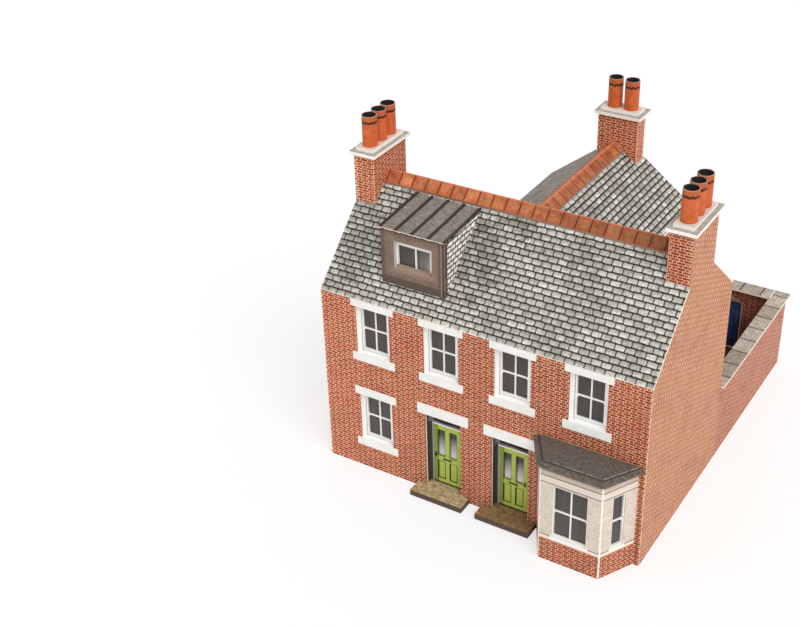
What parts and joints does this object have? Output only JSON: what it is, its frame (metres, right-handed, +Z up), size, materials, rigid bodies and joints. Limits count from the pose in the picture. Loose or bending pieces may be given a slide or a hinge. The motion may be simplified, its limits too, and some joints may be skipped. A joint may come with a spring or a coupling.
{
  "type": "card model terraced house row",
  "caption": "Card model of a red brick terraced house row with a bay window, dormer, chimneys, shared rear wing and walled yards.",
  "frame": {"origin": "centre of the bounding box, at the height of the base", "axes": "+X to the right along the street front, +Y from the street front to the back of the yards, +Z up"},
  "size_m": [0.1244, 0.1528, 0.125],
  "materials": {
    "brick_card": "printed, matt",
    "white_card": "plain, matt",
    "slate_card": "printed, matt",
    "ridge_card": "printed, matt",
    "cap_card": "printed, matt",
    "pot_paper": "printed, matt",
    "grey_card": "printed, matt",
    "green_card": "printed, matt",
    "blue_card": "printed, matt",
    "brown_card": "printed, matt",
    "stone_card": "printed, matt",
    "lead_card": "printed, matt",
    "step_card": "printed, matt",
    "coping_card": "printed, matt",
    "paving_card": "printed, matt",
    "window_film": "clear film, gloss"
  },
  "bodies": {
    "root": {"front_wall": "brick_card", "rear_wall": "brick_card", "left_gable_wall": "brick_card", "right_gable_wall": "brick_card", "house_floor": "grey_card", "main_roof_front": "slate_card", "main_roof_rear": "slate_card", "main_ridge_tiles": "ridge_card", "gable_chimney_stacks": "brick_card", "gable_chimney_caps": "cap_card", "gable_chimney_pots": "pot_paper", "front_window_frames": "white_card", "front_glazing": "window_film", "front_lintels_and_sills": "white_card", "front_door_frames": "grey_card", "front_doors": "green_card", "front_door_glazing": "window_film", "door_steps": "step_card", "bay_base_wall": "brick_card", "bay_stonework": "stone_card", "bay_window_frames": "white_card", "bay_glazing": "window_film", "bay_roof": "lead_card", "dormer_front": "brown_card", "dormer_cheeks": "slate_card", "dormer_roof": "lead_card", "dormer_window_frame": "white_card", "dormer_glazing": "window_film", "wing_side_walls": "brick_card", "wing_rear_gable": "brick_card", "wing_roof_left": "slate_card", "wing_roof_right": "slate_card", "wing_ridge_tiles": "ridge_card", "wing_chimney_stack": "brick_card", "wing_chimney_cap": "cap_card", "wing_chimney_pots": "pot_paper", "yard_side_walls": "brick_card", "yard_rear_wall": "brick_card", "yard_dividing_wall": "brick_card", "yard_floor": "paving_card", "yard_side_copings": "coping_card", "yard_rear_coping": "coping_card", "yard_dividing_coping": "coping_card", "yard_gates": "blue_card", "gate_lintels": "coping_card", "rear_window_frames": "white_card", "rear_glazing": "window_film", "rear_lintels_and_sills": "white_card", "back_doors": "green_card"}
  },
  "joints": []
}
